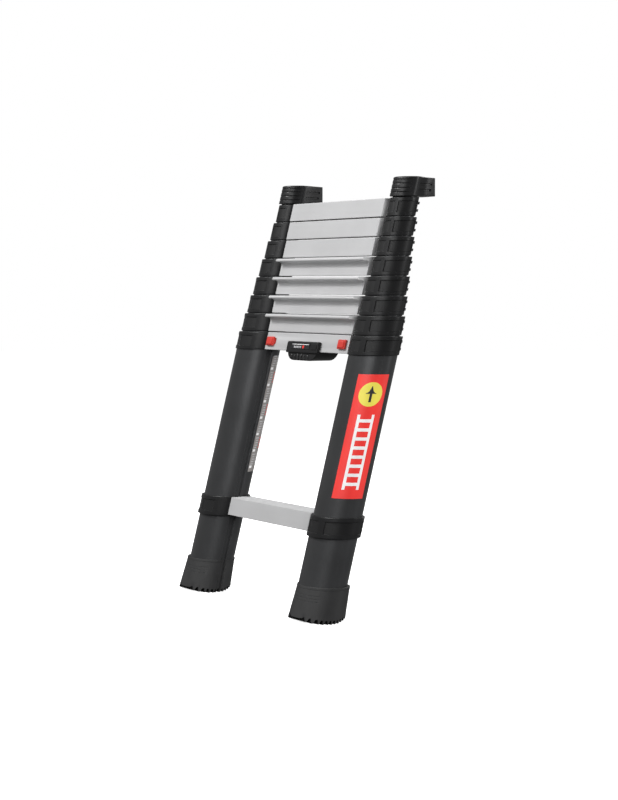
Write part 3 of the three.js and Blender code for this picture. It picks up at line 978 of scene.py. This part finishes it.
def grip_outline(underside):
    """The grip's front outline in X and Z: flat below, with full round corners."""
    count = 10
    corner = []
    for i in range(count + 1):
        t = i / count
        x = ((1 - t) ** 2 + 2 * t * (1 - t) * GRIP_FULLNESS) * GRIP_HALF_TOP + t * t * GRIP_HALF_BOTTOM
        corner.append((x, underside - (2 * t * (1 - t) + t * t) * GRIP_DROP))
    return corner + [(-x, z) for x, z in reversed(corner)]


def add_handle():
    plate_top = box_mm("carry_handle")[1][2]
    underside = rung_heights(2)[0] - GAP
    face = RUNG_FRONT - GAP - HANDLE_THICKNESS
    half = PLATE_HALF
    shell = Shell()
    shell.block((-half, face, underside - 2), (half, RUNG_FRONT - GAP, plate_top), 2.2, 4)
    plate = make_object("carry_plate_look", shell, ["plastic"])
    window = Shell()
    window.block((WINDOW[0], face - 2, underside + 4.2), (WINDOW[1], face + 1.4, plate_top - 2.6), 0)
    cut(plate, make_object("window_cut", window, ["plastic"]))
    finish_piece(plate, "section_1", "plastic", "carry_handle")
    boss = Shell()
    boss.block((31, face - 1.3, underside + 4), (half - 3, face + 1, plate_top - 3), 1.1, 3)
    finish_piece(make_object("carry_boss_look", boss, ["plastic"]), "section_1", "plastic", "carry_handle")
    shell = Shell()
    outline = grip_outline(underside)
    rings = shell.stack([[(x, y, z) for x, z in outline] for y in (face + GRIP_INSET, RUNG_REAR)])
    shell.round_edges(rings[0] + rings[1], 3.2, 4)
    grip = make_object("carry_grip_look", shell, ["plastic"])
    grooves = Shell()
    low, up = underside - GRIP_DROP - 1, underside - 4
    for i in range(GRIP_GROOVES):
        x = GRIP_GROOVE_START + GRIP_GROOVE_PITCH * i
        far = x + GRIP_GROOVE_WIDTH
        outline = [(x, low), (far, low), (far - GRIP_GROOVE_SLANT, up), (x - GRIP_GROOVE_SLANT, up)]
        grooves.stack([[(a, y, z) for a, z in outline] for y in (face, face + GRIP_INSET + 1.6)])
    cut(grip, make_object("grip_cuts", grooves, ["plastic"]))
    finish_piece(grip, "section_1", "plastic", "carry_handle")
    add_badge(face, underside, plate_top)


def add_badge(face, underside, plate_top):
    """Recessed window with a white rule, a row of plain bars and a red dot."""
    low, high = underside + 4.6, plate_top - 3.0
    shell = Shell()
    shell.block((WINDOW[0] + 0.6, face - 0.9, low), (WINDOW[1] - 0.6, face + 1.2, high), 0.5, 2, 0)
    shell.block((-31, face - 1.15, high - 2.3), (24, face - 0.8, high - 1.1), 0.1, 1, 1)
    for i in range(5):
        x = -25 + 5.2 * i
        shell.block((x, face - 1.1, low + 1.9), (x + 3.6, face - 0.8, low + 5.0), 0.1, 1, 2)
    turns = [2 * math.pi * i / 24 for i in range(24)]
    dot_x, dot_z, radius = 6.5, low + 3.6, 2.6
    shell.stack([[(dot_x + radius * math.cos(t), y, dot_z + radius * math.sin(t)) for t in turns]
                 for y in (face - 1.2, face - 0.8)], material=3)
    made = make_object("handle_badge_look", shell, ["badge", "white", "grey", "label_red"])
    finish_piece(made, "section_1", "badge", "handle_badge")


# Printed labels on the lowest tubes

FILM_STEP = 0.09


def wrap(shell, rows, level, material=0):
    """Thin film on the lowest tube. Each row is a height and the two angles the film spans there."""
    centre, width, depth = stile_centre(1), half_width(1), half_depth(1)
    lift, thickness = FILM_STEP * (level + 0.5), FILM_STEP
    steps = max(2, round(max(end - start for z, start, end in rows) / 2))
    rings = []
    for z, start, end in rows:
        angles = [start + (end - start) * i / steps for i in range(steps + 1)]
        outer = lift + thickness
        outside = [oval_point(centre, width + outer, depth + outer, a, False) for a in angles]
        inside = [oval_point(centre, width + lift, depth + lift, a, False) for a in reversed(angles)]
        rings.append([(x, y, z) for x, y in outside + inside])
    shell.stack(rings, material=material)


def film(shell, bottom, top, start, end, material, level=1):
    wrap(shell, [(bottom, start, end), (top, start, end)], level, material)


def disc(shell, z, angle, radius, mm_per_degree, material, level):
    count = 14
    rows = []
    for i in range(count + 1):
        turn = math.pi * (i / count - 0.5)
        spread_angle = max(radius * math.cos(turn), 0.05) / mm_per_degree
        rows.append((z + radius * math.sin(turn), angle - spread_angle, angle + spread_angle))
    wrap(shell, rows, level, material)


SIDE_LABEL_HEIGHTS = (192, 384.5)
SIDE_LABEL_ANGLES = (-13, 66)
STRIP_HEIGHTS = (204, 401)
STRIP_ANGLES = (189, 238)
STRIP_PITCH = 28
MM_PER_DEGREE = 0.66  # along the lowest tube, at the side label's middle


def draw_side_label():
    """Red label: a white ladder sign, and a yellow disc with an upward arrow."""
    bottom, top = SIDE_LABEL_HEIGHTS
    start, end = SIDE_LABEL_ANGLES
    middle = (start + end) / 2
    shell = Shell()
    film(shell, bottom, top, start, end, 0, 0)
    for side in (-1, 1):
        rail = middle + side * 17
        film(shell, bottom + 14, bottom + 130, rail - 3.4, rail + 3.4, 1)
    for i in range(8):
        z = bottom + 20 + 14 * i
        film(shell, z, z + 5, middle - 14, middle + 14, 1)
    disc(shell, top - 31, middle, 19, MM_PER_DEGREE, 2, 1)
    film(shell, top - 43, top - 30, middle - 3, middle + 3, 3, 2)
    wrap(shell, [(top - 30, middle - 13, middle + 13), (top - 18, middle - 0.1, middle + 0.1)], 2, 3)
    return shell


def draw_strip_label():
    """Instruction strip on the inner rear: lines of even bars, grey or partly red, and white ticks."""
    bottom, top = STRIP_HEIGHTS
    start, end = STRIP_ANGLES
    shell = Shell()
    film(shell, bottom, top, start, end, 0, 0)
    for i in range(7):
        z = bottom + 6 + STRIP_PITCH * i
        film(shell, z, z + 4.2, start + 2, start + 12, 1)
        for row in range(5):
            height = z + 6 + 4.1 * row
            first, last = start + 4 + (row * 5) % 4, start + 15 + (row * 7) % 5
            film(shell, height, height + 1.7, first, last, 2)
            film(shell, height, height + 1.7, start + 22, start + 31 + (row * 3) % 5, 3 if i % 2 else 2)
    return shell


def add_labels():
    label = make_object("side_label", draw_side_label(), ["label_red", "white", "yellow", "ink"])
    finish_piece(label, "section_1", "red")
    strip_materials = ["strip", "white", "grey", "label_red"]
    strip = make_object("strip_label", draw_strip_label(), strip_materials, mirrored=True)
    finish_piece(strip, "section_1", "badge")


# Floor and light

def add_panel(name, place, size, power):
    """Area light that faces the ladder's middle."""
    data = bpy.data.lights.new(name, "AREA")
    data.shape = "RECTANGLE"
    data.size, data.size_y = size
    data.energy = power
    panel = bpy.data.objects.new(name, data)
    panel.location = place
    panel.rotation_euler = (Vector(LIGHTS_AIM) - Vector(place)).to_track_quat("-Z", "Y").to_euler()
    bpy.context.scene.collection.objects.link(panel)
    return panel


def plain_emission(name, strength):
    material = bpy.data.materials.new(name)
    material.use_nodes = True
    tree = material.node_tree
    tree.nodes.clear()
    glow = tree.nodes.new("ShaderNodeEmission")
    glow.inputs["Color"].default_value = (1, 1, 1, 1)
    glow.inputs["Strength"].default_value = strength
    output = tree.nodes.new("ShaderNodeOutputMaterial")
    tree.links.new(glow.outputs["Emission"], output.inputs["Surface"])
    return material


def stage_object(name, mesh, material):
    data = bpy.data.meshes.new(name)
    mesh.to_mesh(data)
    mesh.free()
    data.materials.append(material)
    made = bpy.data.objects.new(name, data)
    bpy.context.scene.collection.objects.link(made)
    return made


FLOOR_RADIUS = 14
DOME_RADIUS = 13.5
FLOOR_GLOW = 0.84
WORLD_STRENGTH = 0.22
LIGHTS_AIM = (0, 0, 0.4)


def add_floor_and_light():
    floor_mesh = bmesh.new()
    bmesh.ops.create_circle(floor_mesh, cap_ends=True, segments=96, radius=FLOOR_RADIUS)
    pale = new_material("floor_pale", (0.93, 0.93, 0.93), 0.9)
    shader_input(pale, "Emission Color").default_value = (1, 1, 1, 1)
    shader_input(pale, "Emission Strength").default_value = FLOOR_GLOW
    floor = stage_object("floor", floor_mesh, pale)
    floor.visible_diffuse = False
    floor.visible_glossy = False
    dome_mesh = bmesh.new()
    bmesh.ops.create_uvsphere(dome_mesh, u_segments=48, v_segments=24, radius=DOME_RADIUS)
    dome = stage_object("backdrop", dome_mesh, plain_emission("backdrop_white", 1.0))
    dome.visible_diffuse = False
    dome.visible_glossy = False
    dome.visible_shadow = False
    world = bpy.data.worlds.new("studio")
    world.use_nodes = True
    background = world.node_tree.nodes["Background"]
    background.inputs["Color"].default_value = (1, 1, 1, 1)
    background.inputs["Strength"].default_value = WORLD_STRENGTH
    bpy.context.scene.world = world
    add_panel("key", (-1.9, -2.3, 3.4), (0.9, 0.9), 125)
    add_panel("front", (0.5, -3.1, 2.4), (2.0, 1.4), 44)
    side = add_panel("camera_side", (3.1, -0.7, 1.2), (0.8, 1.6), 45)
    side.visible_glossy = False
    add_panel("right_rear", (2.3, 2.4, 1.6), (0.8, 1.8), 50)
    add_panel("left_rear", (-2.0, 2.8, 2.2), (1.2, 1.2), 30)
    bpy.context.scene.view_settings.view_transform = "Standard"


def add_ladder():
    for section in range(1, SECTIONS + 1):
        both_sides(f"tube_{section}", f"section_{section}", "tube", lambda: draw_tube(section))
    for rung in range(1, RUNGS + 1):
        both_sides(f"collar_{rung}", f"section_{max(1, rung - 1)}", "plastic", lambda: draw_collar(rung),
                   ["plastic", "inset"])
        add_rung(rung)
    both_sides("foot", "section_1", "rubber", draw_foot, ["rubber", "painted_shade_rubber"], sharp_angle=32)
    both_sides("top_cap", f"section_{SECTIONS}", "plastic", draw_cap)
    both_sides("release_button", "{side}_release", "red", draw_button)
    both_sides("lock_pin", "{side}_release", "steel", draw_pin)
    both_sides("spring_stop", "section_1", "plastic", draw_spring_stop)
    add_springs()
    add_handle()
    add_labels()


add_ladder()
add_floor_and_light()
